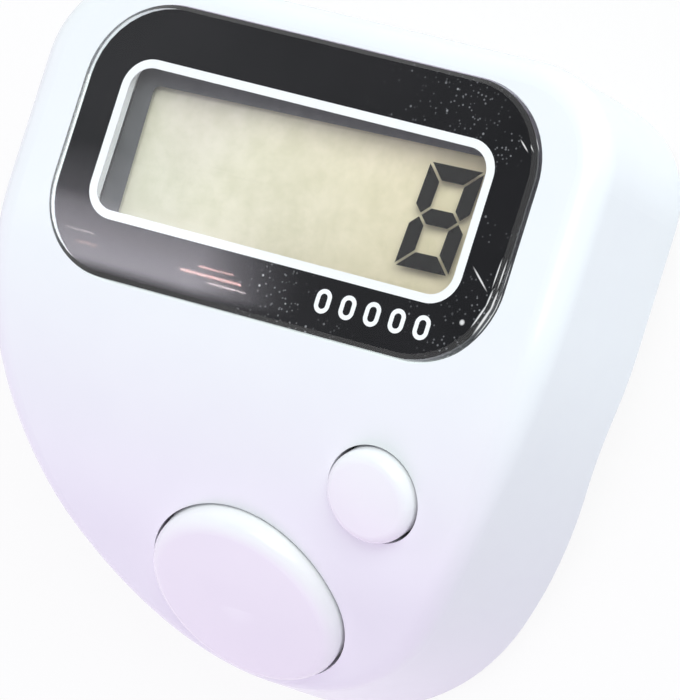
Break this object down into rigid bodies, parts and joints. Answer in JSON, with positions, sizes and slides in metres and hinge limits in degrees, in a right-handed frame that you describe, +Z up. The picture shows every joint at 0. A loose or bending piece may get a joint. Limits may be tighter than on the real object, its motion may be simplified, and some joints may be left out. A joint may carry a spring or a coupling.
{
  "type": "finger tally counter",
  "caption": "Arched pocket finger counter with a framed liquid-crystal display, a large domed count key, a small reset key and a slotted curved back that sits on a finger",
  "frame": {"origin": "Centre of the overall box on the plane of the two rest lands at the back, where the counter stands on a table", "axes": "+Z up from the table, +Y towards the upper edge of the display, +X to the right for the reader"},
  "size_m": [0.0346, 0.0386, 0.0148],
  "materials": {
    "white_shell": "glossy moulded white plastic",
    "white_key": "glossy moulded white plastic",
    "lens_clear": "clear polished acrylic",
    "black_print": "black adhesive frame",
    "lcd_film": "polariser film",
    "lcd_glass": "polished glass",
    "lcd_reflector": "satin reflector film",
    "contact_rubber": "layered contact rubber",
    "foam": "soft foam strip",
    "board": "coated circuit board",
    "chip_resin": "black resin",
    "ceramic": "sintered ceramic",
    "cell_steel": "plated steel can",
    "spring_strip": "plated spring strip",
    "ribbon": "polyimide film",
    "silicone": "translucent silicone rubber",
    "carbon": "carbon-filled rubber",
    "screw_steel": "plated steel"
  },
  "bodies": {
    "case": {"front_case": "white_shell", "rear_cover": "white_shell", "lens": "lens_clear", "lens_adhesive": "black_print", "lcd_front_film": "lcd_film", "lcd_front_glass": "lcd_glass", "lcd_rear_glass": "lcd_glass", "lcd_reflector": "lcd_reflector", "contact_strip": "contact_rubber", "lcd_cushion": "foam", "main_board": "board", "chip_blob": "chip_resin", "capacitor": "ceramic", "resistor": "chip_resin", "battery_cell": "cell_steel", "battery_clip": "spring_strip", "battery_leaf": "spring_strip", "switch_board": "board", "switch_ribbon": "ribbon", "count_dome": "silicone", "reset_dome": "silicone", "cover_screws": "screw_steel", "board_screws": "screw_steel"},
    "count_key": {"count_button": "white_key", "count_pill": "carbon"},
    "reset_key": {"reset_button": "white_key", "reset_pill": "carbon"}
  },
  "joints": [
    {"name": "count_press", "type": "slide", "parent": "case", "child": "count_key", "axis": [0, 0.5806, -0.8142], "range_m": [0, 0.0009], "stiffness_N_per_m": 1500, "deforming": ["count_dome"]},
    {"name": "reset_press", "type": "slide", "parent": "case", "child": "reset_key", "axis": [0, 0.251, -0.968], "range_m": [0, 0.0006], "stiffness_N_per_m": 1800, "deforming": ["reset_dome"]}
  ]
}
